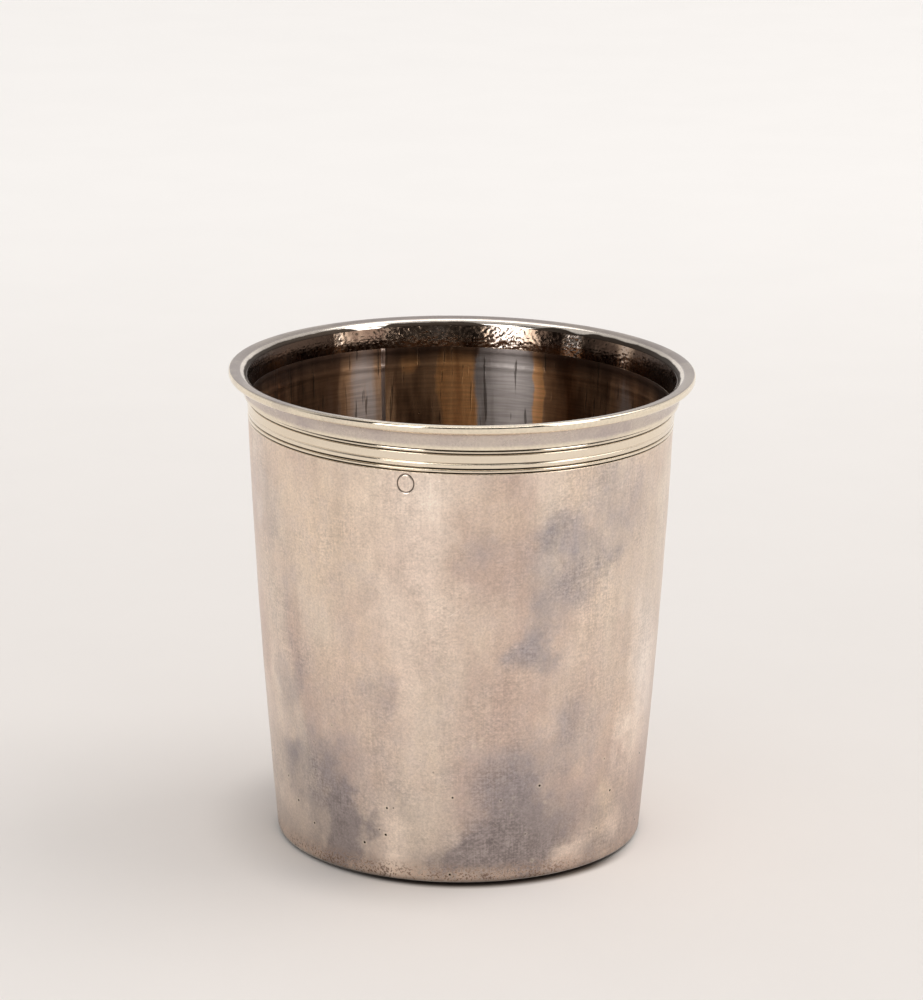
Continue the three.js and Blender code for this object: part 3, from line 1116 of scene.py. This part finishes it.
def inside_silver(finish):
    """Glossy copper-brown film with bare grey streaks that are partly painted reflections, painted
    shade, upright scratches and level hatching.
    """
    sheet = new_finish("inside_silver")
    panels = sheet.noise(sheet.stretched((1, 1, 16)), 90, detail=4)
    streaks = sheet.noise(sheet.stretched((1, 1, 25)), 900, detail=4, roughness=0.7)
    rings = sheet.noise(sheet.stretched((16, 16, 1)), 2300, detail=3)
    shades = sheet.noise(sheet.stretched((1, 1, 5)), 120, detail=4)
    scored = sheet.ramp(sheet.noise(sheet.stretched((1, 1, 14)), 1500, detail=1), 0.64, 0.70)
    grain = sheet.noise(sheet.place, 2400, detail=2)
    pits, rims = sheet.pits(260, 0.05, 0.12)
    ragged = sheet.total((panels, 0.8), (streaks, 0.5))

    # Bare grey streaks, partly painted reflections of the front lamps
    bare = soft_clouds(sheet, BARE_AND_REFLECTION_STREAKS, FAR_SIDE, STREAK_SHAKE)
    bare_and_reflection_share = sheet.ramp(sheet.plus(bare, ragged), 0.85, 1.45)
    colour = sheet.blend(bare_and_reflection_share, finish.inside_brown, finish.inside_grey)
    copper = soft_clouds(sheet, COPPER_STREAKS, FAR_SIDE, STREAK_SHAKE)
    # Painted shade inside, lighter where the bare and copper streaks lie and darkest in upright
    # streaks at the sides
    dark = sheet.lessened(sheet.ramp(shades, 0.38, 0.58), sheet.plus(bare_and_reflection_share, copper), 0.8)
    shade_streaks = soft_clouds(sheet, SHADE_STREAKS, FAR_SIDE, STREAK_SHAKE)
    dark = sheet.at_most(sheet.total((dark, 1), (shade_streaks, 0.8)), 1.15)
    colour = sheet.coat(colour, INSIDE_SHADE, dark, 0.8)
    copper_share = sheet.ramp(sheet.plus(copper, ragged), 1.0, 1.5)
    colour = sheet.coat(colour, INSIDE_COPPER, copper_share, 0.85)
    # Darker on the inner wall just under the lip
    under_lip = sheet.total((sheet.stored("made_height"), 1), (panels, 4.0))
    under_lip = sheet.ramp(under_lip, *UNDER_LIP_HEIGHTS)
    under_lip = sheet.times(under_lip, sheet.ramp(bare, 1.0, 0.2, 0.5, 1.0))
    colour = sheet.coat(colour, UNDER_LIP_DARK, under_lip, 0.93)
    colour = sheet.scaled(colour, sheet.ramp(rings, 0.35, 0.65, 0.86, 1.10))
    colour = sheet.coat(colour, finish.deep_tarnish, pits)
    colour = sheet.coat(colour, finish.deep_tarnish, scored, 0.6)

    roughness = sheet.ramp(streaks, *NOISE_SPAN, 0.33, 0.46)
    relief = sheet.total(
        (streaks, 1.6), (rings, 0.8), (grain, 0.3), (pits, -6.0), (scored, -2.0), (rims, 1)
    )
    return sheet.metal(colour, roughness, relief, 0.008 * MM, brushed=0.9, brushed_turn=0.25)


def lip_silver(finish):
    """Rubbed bright on its edge and throat, lilac and matt on its top and in its hollow, lighter on
    its top at the front, with a painted dark reflection on its inner face.
    """
    sheet = new_finish("lip_silver")
    height = sheet.stored("made_height")
    throat = sheet.stored("throat_face")
    outer = sheet.lessened(1.0, throat)
    grain = sheet.noise(sheet.place, 2600, detail=2)
    round_marks = sheet.noise(sheet.stretched((6, 6, 1)), 1600, detail=2)
    ragged = sheet.noise(sheet.stretched((2, 2, 1)), 420, detail=4)
    cloudy = sheet.ramp(sheet.noise(sheet.place, 130, detail=5), 0.4, 0.7, -0.12, 0.18)

    colour = sheet.blend(outer, LIP_EDGE, finish.polished_silver)
    top = sheet.ramp(height, *LIP_TOP_HEIGHTS)
    top = sheet.times(top, sheet.ramp(sheet.stored("made_radius"), *LIP_TOP_RADII))
    # Less of the top's film at the front, so the top is lighter there
    lighter_front = sheet.times(top, sheet.stored("front_edge"))
    top_share = sheet.total((top, 0.95), (cloudy, 1), (lighter_front, -0.85))
    colour = sheet.coat(colour, LIP_TOP_FILM, top_share)
    hollow = sheet.ramp(height, *HOLLOW_FOOT_HEIGHTS)
    hollow = sheet.times(hollow, sheet.ramp(height, *HOLLOW_TOP_HEIGHTS))
    hollow_share = sheet.total((sheet.times(hollow, outer), 0.85), (cloudy, 1))
    colour = sheet.coat(colour, LIP_HOLLOW_FILM, hollow_share)
    colour = sheet.scaled(colour, sheet.ramp(grain, *NOISE_SPAN, 0.92, 1.04))
    # Tarnish and painted shade in the notch at the moulding's foot
    colour = sheet.coat(colour, finish.deep_tarnish, sheet.ramp(height, *NOTCH_HEIGHTS))
    # Painted dark reflection on the throat's inner face, left off where the lamps' reflections fall
    black = sheet.total((height, 1), (ragged, 0.4), (sheet.stored("clean_face"), 1))
    black = sheet.times(sheet.ramp(black, *THROAT_DARK_HEIGHTS), throat)
    colour = sheet.coat(colour, THROAT_PAINTED_DARK, black, 0.97)

    matt = sheet.maths("MAXIMUM", top_share, hollow_share)
    roughness = sheet.plus(0.10, sheet.total((matt, 0.22), (black, 0.4)))
    relief = sheet.total((grain, 0.6), (round_marks, 1))
    return sheet.metal(colour, roughness, relief, 0.005 * MM)


def rough_solder(finish):
    """Lumpy glossy solder: dark film where it is smooth, bright on its lumps with a painted sheen,
    black in its pits, darker at its far left and right.
    """
    sheet = new_finish("rough_solder")
    grain = sheet.noise(sheet.place, 1500, detail=3)
    patches = sheet.noise(sheet.stretched((1, 1, 1.6)), 260, detail=4)
    pits, rims = sheet.pits(1100, 0.3, 0.3)
    lumps = sheet.stored("lumps")
    across = sheet.along("X")

    film = sheet.plus(lumps, sheet.ramp(patches, *NOISE_SPAN, -0.12, 0.12))
    colour = sheet.blend(sheet.ramp(film, 0.15, 0.45), SOLDER_FILM, SOLDER_BROWN)
    # Bright solder on the lumps, partly a painted sheen where the lamps' reflections fall
    bright = sheet.ramp(sheet.total((lumps, 1), (patches, 0.7)), 0.75, 1.15)
    colour = sheet.coat(colour, SOLDER_BRIGHT_AND_SHEEN, bright)
    colour = sheet.coat(colour, finish.deep_tarnish, pits, 0.8)
    # Darker at the band's far left and right
    sides = sheet.ramp(across, *SOLDER_SIDE_LEFT)
    sides = sheet.plus(sides, sheet.ramp(across, *SOLDER_SIDE_RIGHT))
    colour = sheet.coat(colour, SOLDER_SIDE_DARK, sides, 0.85)

    roughness = sheet.ramp(grain, *NOISE_SPAN, 0.10, 0.28)
    relief = sheet.total((grain, 1), (pits, -1.0), (rims, 0.3))
    return sheet.metal(colour, roughness, relief, 0.012 * MM)


def seam_solder(finish):
    """Scraped solder in the wall's seam."""
    sheet = new_finish("seam_solder")
    scrapes = sheet.noise(sheet.stretched((1, 1, 25)), 1400, detail=3)
    grain = sheet.noise(sheet.place, 2400, detail=2)
    patches = sheet.noise(sheet.stretched((1, 1, 3)), 220, detail=4)
    colour = sheet.blend(sheet.ramp(patches, 0.35, 0.65), finish.rose_silver, finish.inside_grey)
    colour = sheet.coat(colour, SEAM_SCRAPE, sheet.ramp(scrapes, 0.55, 0.75))
    roughness = sheet.ramp(scrapes, *NOISE_SPAN, 0.22, 0.42)
    relief = sheet.total((scrapes, 1), (grain, 0.4))
    return sheet.metal(colour, roughness, relief, 0.01 * MM)


def base_silver(finish):
    """Scuffed disc, dull in clouds, with painted shade and a painted black shadow where its edge
    meets the table.
    """
    sheet = new_finish("base_silver")
    clouds = sheet.noise(sheet.place, 60, detail=5)
    grain = sheet.noise(sheet.place, 2400, detail=2)
    scuffs = sheet.noise(sheet.stretched((20, 1, 1), turn=(0, 0, 25)), 1500, detail=3)
    swipes = sheet.noise(sheet.stretched((20, 1, 1), turn=(0, 0, -50)), 1700, detail=3)
    pits, rims = sheet.pits(240, 0.06, 0.2)
    height = sheet.stored("made_height")
    across = sheet.along("X")

    colour = sheet.blend(sheet.ramp(clouds, 0.35, 0.65), BASE_PALE, BASE_DULL)
    marks = sheet.plus(sheet.ramp(scuffs, 0.62, 0.72), sheet.ramp(swipes, 0.66, 0.76))
    colour = sheet.coat(colour, finish.polished_silver, marks, 0.35)
    colour = sheet.coat(colour, finish.deep_tarnish, pits)
    # Painted shade and a painted black shadow on the disc's edge where it meets the table
    rim = sheet.ramp(sheet.stored("made_radius"), *FOOT_SHADOW_RADII)
    colour = sheet.coat(colour, FOOT_SHADE_COLOUR, sheet.times(foot_painted_shade(sheet, height, across), rim))
    black = sheet.times(sheet.ramp(height, *FOOT_SHADOW_HEIGHTS), rim)
    black = sheet.times(black, sheet.ramp(across, *FOOT_SHADOW_LEFT, 0.35, 0.9))
    black = sheet.times(black, sheet.ramp(across, *FOOT_SHADOW_RIGHT, 0.5, 1.0))
    colour = sheet.coat(colour, FOOT_PAINTED_SHADOW, black)

    roughness = sheet.ramp(clouds, *NOISE_SPAN, 0.28, 0.45)
    relief = sheet.total((scuffs, 1), (swipes, 1), (grain, 0.6), (pits, -5.0), (rims, 1))
    return sheet.metal(colour, roughness, relief, 0.008 * MM)


# Operators

SEAM_AZIMUTH = 113.0
SEAM_WIDTH = 0.7 * MM
SEAM_STEPS = 4
SOLDER_CUTS = 4
OUTSIDE_SHARE = 0.6


def seam_angle(shape):
    """Half the angle that the seam takes at the middle of the wall."""
    return math.asin(SEAM_WIDTH / 2 / wall_radius(shape, JOINT_HEIGHT / 2))


def paint_wall(piece, materials):
    """Gives outer faces the first material and the faces inside the cup the second."""
    for material in materials:
        piece.data.materials.append(material)
    for face in piece.data.polygons:
        face.material_index = 1 if looks_inward(face) else 0


# The struck mark is a plain oval line: X, height, half width and half height
MARK = (-8.65 * MM, 69.2 * MM, 1.3 * MM, 1.5 * MM)
MARK_LINE = 0.2 * MM
MARK_DEPTH = 0.12 * MM
MARK_MARGIN = 1.8
MARK_CUTS = 11


def mark_line(places):
    """How deep the oval line of the mark is at each place, from 0 to 1."""
    x, height, half_width, half_height = MARK
    across = (places[:, 0] - x) / half_width
    up = (places[:, 2] - height) / half_height
    line = swell(np.hypot(across, up), 1, MARK_LINE / half_width)
    return np.where(places[:, 1] < 0, line, 0)


def cut_fine_at_mark(piece):
    """Cuts the outer faces round the mark into small ones, so that they can hold its line."""
    x, height, half_width, half_height = MARK

    def is_near(face):
        centre = face.center
        across = abs(centre.x - x) / half_width
        up = abs(centre.z - height) / half_height
        return centre.y < 0 and max(across, up) < MARK_MARGIN and not looks_inward(face)

    subdivide_chosen(piece, is_near, MARK_CUTS)


class BEAKER_OT_wall(bpy.types.Operator):
    """Rolls the wall with its pressed lines, open at the seam"""

    bl_idname = "beaker.wall"
    bl_label = "Wall"

    def execute(self, context):
        shape = context.scene.beaker_shape
        finish = context.scene.beaker_finish
        piece = trace("beaker_wall", wall_outline(shape), closed=True)
        gap = seam_angle(shape)
        start = math.radians(SEAM_AZIMUTH) + gap
        spin_round(piece, shape.turning_steps, start, math.tau - 2 * gap)
        cut_fine_at_mark(piece)
        keep_made_height(piece)
        places = vertex_places(piece)
        plain = wall_radius(shape, places[:, 2])
        outer = radii_of(places) > plain - shape.sheet * OUTSIDE_SHARE
        # The faint line carries a painted dark reflection on top of the tarnish in the lines
        lines = line_cut(shape, places[:, 2]) + faint_line_painted_reflection(shape, places)
        mark = outer * mark_line(places)
        store(piece, "line_cut", outer * lines + mark)
        displace(piece, mark, -MARK_DEPTH, None, 0.0)
        lean(piece)
        paint_wall(piece, (outside_silver(finish), inside_silver(finish)))
        fit_to_frame(piece, "wall_sleeve")
        return {"FINISHED"}


class BEAKER_OT_seam(bpy.types.Operator):
    """Fills the gap in the rolled wall with its strip of solder"""

    bl_idname = "beaker.seam"
    bl_label = "Seam"

    def execute(self, context):
        shape = context.scene.beaker_shape
        finish = context.scene.beaker_finish
        piece = trace("beaker_seam", wall_outline(shape), closed=True)
        gap = seam_angle(shape)
        spin_round(piece, SEAM_STEPS, math.radians(SEAM_AZIMUTH) - gap, 2 * gap)
        lean(piece)
        piece.data.materials.append(seam_solder(finish))
        fit_to_frame(piece, "wall_seam")
        return {"FINISHED"}


# Where the painted dark reflection on the lip's inner face is left off, so that the lamps'
# reflections show, and where its top is lighter at the front: azimuth from the back and half width
# in degrees, strength
LAMP_REFLECTION_GAPS = (
    (-27.0, 8.0, 1.0),
    (13.5, 13.0, 1.0),
    (34.0, 6.0, 0.4),
)
FRONT_EDGE = ((180.0, 60.0, 1.0),)
THROAT_SIDE = 36.9 * MM


class BEAKER_OT_lip(bpy.types.Operator):
    """Turns the lip moulding"""

    bl_idname = "beaker.lip"
    bl_label = "Lip"

    def execute(self, context):
        shape = context.scene.beaker_shape
        finish = context.scene.beaker_finish
        piece = trace("beaker_lip", lip_outline(shape), closed=True)
        spin_round(piece, shape.turning_steps)
        keep_made_height(piece)
        keep_made_radius(piece)
        places = vertex_places(piece)
        face = throat_face(shape, places[:, 2])
        flared = places[:, 2] > LIP_TOP - shape.throat_rounding
        on_throat = radii_of(places) < np.where(flared, THROAT_SIDE, face + WELD)
        store(piece, "throat_face", on_throat)
        store(piece, "clean_face", humps_round(places, LAMP_REFLECTION_GAPS))
        store(piece, "front_edge", humps_round(places, FRONT_EDGE))
        lean(piece)
        piece.data.materials.append(lip_silver(finish))
        fit_to_frame(piece, "lip_moulding")
        return {"FINISHED"}


# Where the solder inside the lip lies in lumps: azimuth from the back and half width in degrees,
# strength
SOLDER_LUMPS = (
    (13.0, 12.0, 0.65),
    (33.0, 4.5, 1.0),
    (-37.0, 3.0, 0.3),
    (-27.0, 8.0, 0.12),
    (52.0, 5.0, 0.45),
    (-8.0, 15.0, 0.4),
    (100.0, 20.0, 0.5),
    (160.0, 25.0, 0.6),
    (-110.0, 22.0, 0.5),
)
SMOOTH_SOLDER = 0.15


class BEAKER_OT_lip_solder(bpy.types.Operator):
    """Runs the lumpy solder that holds the lip on, inside the mouth"""

    bl_idname = "beaker.lip_solder"
    bl_label = "Lip solder"

    def execute(self, context):
        shape = context.scene.beaker_shape
        finish = context.scene.beaker_finish
        piece = trace("lip_solder_band", solder_outline(shape), closed=True)
        spin_round(piece, shape.turning_steps)
        subdivide_chosen(piece, looks_inward, SOLDER_CUTS)
        places = vertex_places(piece)
        face = throat_face(shape, places[:, 2]) - SOLDER_GAP
        lumps = np.clip(SMOOTH_SOLDER + humps_round(places, SOLDER_LUMPS), 0, 1)
        store(piece, "lumps", lumps)
        clouds = bpy.data.textures.new("solder_lumps", "CLOUDS")
        clouds.noise_scale = SOLDER_GRAIN
        clouds.noise_depth = 3
        inner = radii_of(places) < face - SOLDER_SHEET / 2
        displace(piece, inner * lumps, shape.solder_roughness, clouds, 0.5)
        lean(piece)
        piece.data.materials.append(rough_solder(finish))
        fit_to_frame(piece, "lip_solder")
        return {"FINISHED"}


class BEAKER_OT_base(bpy.types.Operator):
    """Turns the base disc and the solder fillet in its corner"""

    bl_idname = "beaker.base"
    bl_label = "Base"

    def execute(self, context):
        shape = context.scene.beaker_shape
        finish = context.scene.beaker_finish
        disc = trace("base_plate", base_outline(shape), closed=False)
        spin_round(disc, shape.turning_steps)
        keep_made_height(disc)
        keep_made_radius(disc)
        lean(disc)
        disc.data.materials.append(base_silver(finish))
        fit_to_frame(disc, "base_disc")
        fillet = trace("base_fillet", fillet_outline(shape), closed=True)
        spin_round(fillet, shape.turning_steps)
        store(fillet, "lumps", np.full(len(fillet.data.vertices), SMOOTH_SOLDER))
        lean(fillet)
        fillet.data.materials.append(rough_solder(finish))
        fit_to_frame(fillet, "base_solder")
        return {"FINISHED"}


# Each lamp's azimuth and elevation in degrees, its width and height in metres, the setting that
# holds its power, and whether it lights the floor as well as showing in the metal
LAMPS = (
    ("key_lamp", 99, 52, (1.66, 1.66), "key_power", True),
    ("left_strip", -31, 22, (1.0, 1.66), "strip_power", False),
    ("right_strip", 58, 22, (1.0, 1.66), "strip_power", False),
    ("top_lamp", 4, 62, (2.2, 0.42), "top_power", False),
    ("back_lamp", 176, 62, (1.5, 0.9), "back_power", False),
)
LAMP_COLOUR = (1.0, 0.985, 0.965)
LAMP_AIM = Vector((0, 0, 40 * MM))
LAMP_DISTANCE = 2.5


def add_lamp(name, azimuth, elevation, size, power, lights_floor):
    """A soft rectangular lamp. Azimuth 0 is the camera's side, and 90 its right."""
    side = math.radians(azimuth)
    up = math.radians(elevation)
    away = Vector((math.sin(side) * math.cos(up), -math.cos(side) * math.cos(up), math.sin(up)))
    deselect_all()
    bpy.ops.object.light_add(type="AREA", location=LAMP_AIM + away * LAMP_DISTANCE)
    lamp = bpy.context.object
    lamp.name = name
    lamp.rotation_euler = away.to_track_quat("Z", "Y").to_euler()
    lamp.visible_diffuse = lights_floor
    lamp.data.shape = "RECTANGLE"
    lamp.data.size, lamp.data.size_y = size
    lamp.data.energy = power
    lamp.data.color = LAMP_COLOUR


# Directions of the world, from -1 to 1 along Z and Y, over which its looks change
PAPER_TOP = (0.50, 0.32)
CAMERA_SIDE = (-0.45, 0.10)


def paint_world(stage):
    """Pale paper low down behind the cup, a grey room above it, and dark on the camera's side."""
    world = bpy.data.worlds.new("studio_room")
    bpy.context.scene.world = world
    sheet = NodeSheet(world, "Generated")
    paper = sheet.ramp(sheet.along("Z"), *PAPER_TOP)
    room = sheet.blend(paper, stage.room_colour, stage.paper_colour)
    room = sheet.blend(sheet.ramp(sheet.along("Y"), *CAMERA_SIDE), stage.dark_side, room)
    rays = sheet.add("ShaderNodeLightPath").outputs
    mirrored = sheet.maths("MAXIMUM", rays["Is Glossy Ray"], rays["Is Transmission Ray"])
    direct = sheet.maths("LESS_THAN", rays["Diffuse Depth"], 0.5)
    seen = sheet.blend(sheet.times(mirrored, direct), stage.fill_colour, room)
    seen = sheet.blend(rays["Is Camera Ray"], seen, stage.paper_colour)
    sheet.put(sheet.nodes["Background"].inputs["Color"], seen)


FLOOR_SIZE = 8

# Distances over which the floor's colours change, its painted light at the back among them, and the
# colours of its painted shade and its painted brown contact shadow
FAR_LIGHT_SPAN = (0.05, 0.6)
FLOOR_SHADE = (0.05, 0.045, 0.04)
# Painted brown contact shadow on the paper round the cup's foot
FLOOR_CONTACT_SHADOW = (0.10, 0.06, 0.035)
SHADE_RADII = (46 * MM, 31 * MM)
SHADE_RIGHT = (12 * MM, -16 * MM)
CONTACT_SHADOW_RADII = (32.4 * MM, 30.2 * MM)
CONTACT_SHADOW_LEFT = (-27 * MM, -6 * MM)
CONTACT_SHADOW_RIGHT = (31 * MM, 21 * MM)
CONTACT_SHADOW_LEAN = -0.02


def floor_paper(stage):
    """Warm white paper with a faint mottle, painted paler at the back as if more light fell there,
    with a painted shade at the cup's left and a painted brown contact shadow where the cup stands.
    """
    sheet = new_finish("floor_paper")
    mottle = sheet.noise(sheet.place, 30, detail=4)
    across = sheet.along("X")
    measure = sheet.add("ShaderNodeVectorMath", operation="LENGTH")
    sheet.put(measure.inputs[0], sheet.place)
    away = measure.outputs["Value"]

    # Painted light: paler paper towards the back
    far = sheet.ramp(sheet.along("Y"), *FAR_LIGHT_SPAN)
    colour = sheet.blend(far, stage.floor_colour, stage.far_lit_colour)
    shaded = sheet.ramp(away, *SHADE_RADII, 0.0, 0.20)
    shaded = sheet.times(shaded, sheet.ramp(across, *SHADE_RIGHT))
    colour = sheet.coat(colour, FLOOR_SHADE, shaded)
    # Painted brown contact shadow round the cup's foot
    contact_shadow = sheet.total((away, 1), (across, CONTACT_SHADOW_LEAN))
    contact_shadow = sheet.ramp(contact_shadow, *CONTACT_SHADOW_RADII, 0.0, 0.9)
    contact_shadow = sheet.times(contact_shadow, sheet.ramp(across, *CONTACT_SHADOW_LEFT, 0.1, 1.0))
    contact_shadow = sheet.times(contact_shadow, sheet.ramp(across, *CONTACT_SHADOW_RIGHT, 0.03, 1.0))
    colour = sheet.coat(colour, FLOOR_CONTACT_SHADOW, contact_shadow)
    colour = sheet.scaled(colour, sheet.ramp(mottle, *NOISE_SPAN, 0.994, 1.004))

    shader = sheet.nodes["Principled BSDF"]
    sheet.put(shader.inputs["Base Color"], colour)
    shader.inputs["Roughness"].default_value = 0.85
    shader.inputs["Specular IOR Level"].default_value = 0.1
    return sheet.owner


CAMERA_AIM = Vector((0.124 * MM, 0, 56.94 * MM))
SENSOR_WIDTH = 36
CLIP_START = 0.05
CLIP_END = 50


def add_camera(stage):
    """The photograph's view: a long lens a little above the rim."""
    back = Vector((0, -math.cos(stage.elevation), math.sin(stage.elevation)))
    level_right = Vector((1, 0, 0))
    level_up = level_right.cross(-back)
    right = math.cos(stage.roll) * level_right + math.sin(stage.roll) * level_up
    up = -math.sin(stage.roll) * level_right + math.cos(stage.roll) * level_up
    deselect_all()
    bpy.ops.object.camera_add()
    camera = bpy.context.object
    camera.name = "photo_camera"
    turned = Matrix((right, up, back)).transposed().to_4x4()
    camera.matrix_world = Matrix.Translation(CAMERA_AIM + back * stage.distance) @ turned
    camera.data.lens = stage.lens
    camera.data.sensor_width = SENSOR_WIDTH
    camera.data.clip_start = CLIP_START
    camera.data.clip_end = CLIP_END
    bpy.context.scene.camera = camera


class BEAKER_OT_stage(bpy.types.Operator):
    """Lays the floor and sets the lamps, the room and the camera"""

    bl_idname = "beaker.stage"
    bl_label = "Stage"

    def execute(self, context):
        stage = context.scene.beaker_stage
        deselect_all()
        bpy.ops.mesh.primitive_plane_add(size=FLOOR_SIZE)
        floor = context.object
        floor.name = "studio_floor"
        floor.data.materials.append(floor_paper(stage))
        for name, azimuth, elevation, size, power, lights_floor in LAMPS:
            add_lamp(name, azimuth, elevation, size, getattr(stage, power), lights_floor)
        paint_world(stage)
        add_camera(stage)
        context.scene.view_settings.view_transform = "Standard"
        return {"FINISHED"}


class BEAKER_PT_panel(bpy.types.Panel):
    """Lists the beaker's pieces and its stage"""

    bl_idname = "BEAKER_PT_panel"
    bl_label = "Christening beaker"
    bl_space_type = "VIEW_3D"
    bl_region_type = "UI"
    bl_category = "Beaker"

    def draw(self, context):
        for operator in OPERATORS:
            self.layout.operator(operator.bl_idname)


OPERATORS = (
    BEAKER_OT_wall,
    BEAKER_OT_seam,
    BEAKER_OT_lip,
    BEAKER_OT_lip_solder,
    BEAKER_OT_base,
    BEAKER_OT_stage,
)
CLASSES = (BeakerShape, BeakerFinish, BeakerStage, *OPERATORS, BEAKER_PT_panel)


def register():
    for cls in CLASSES:
        bpy.utils.register_class(cls)
    bpy.types.Scene.beaker_shape = PointerProperty(type=BeakerShape)
    bpy.types.Scene.beaker_finish = PointerProperty(type=BeakerFinish)
    bpy.types.Scene.beaker_stage = PointerProperty(type=BeakerStage)


def unregister():
    for name in ("beaker_shape", "beaker_finish", "beaker_stage"):
        delattr(bpy.types.Scene, name)
    for cls in reversed(CLASSES):
        bpy.utils.unregister_class(cls)


def remove_lean_cage():
    cage = bpy.data.objects.get("lean_cage")
    if cage:
        bpy.data.objects.remove(cage)


def main():
    register()
    bpy.ops.beaker.wall()
    bpy.ops.beaker.seam()
    bpy.ops.beaker.lip()
    bpy.ops.beaker.lip_solder()
    bpy.ops.beaker.base()
    remove_lean_cage()
    bpy.ops.beaker.stage()


if __name__ == "__main__":
    main()
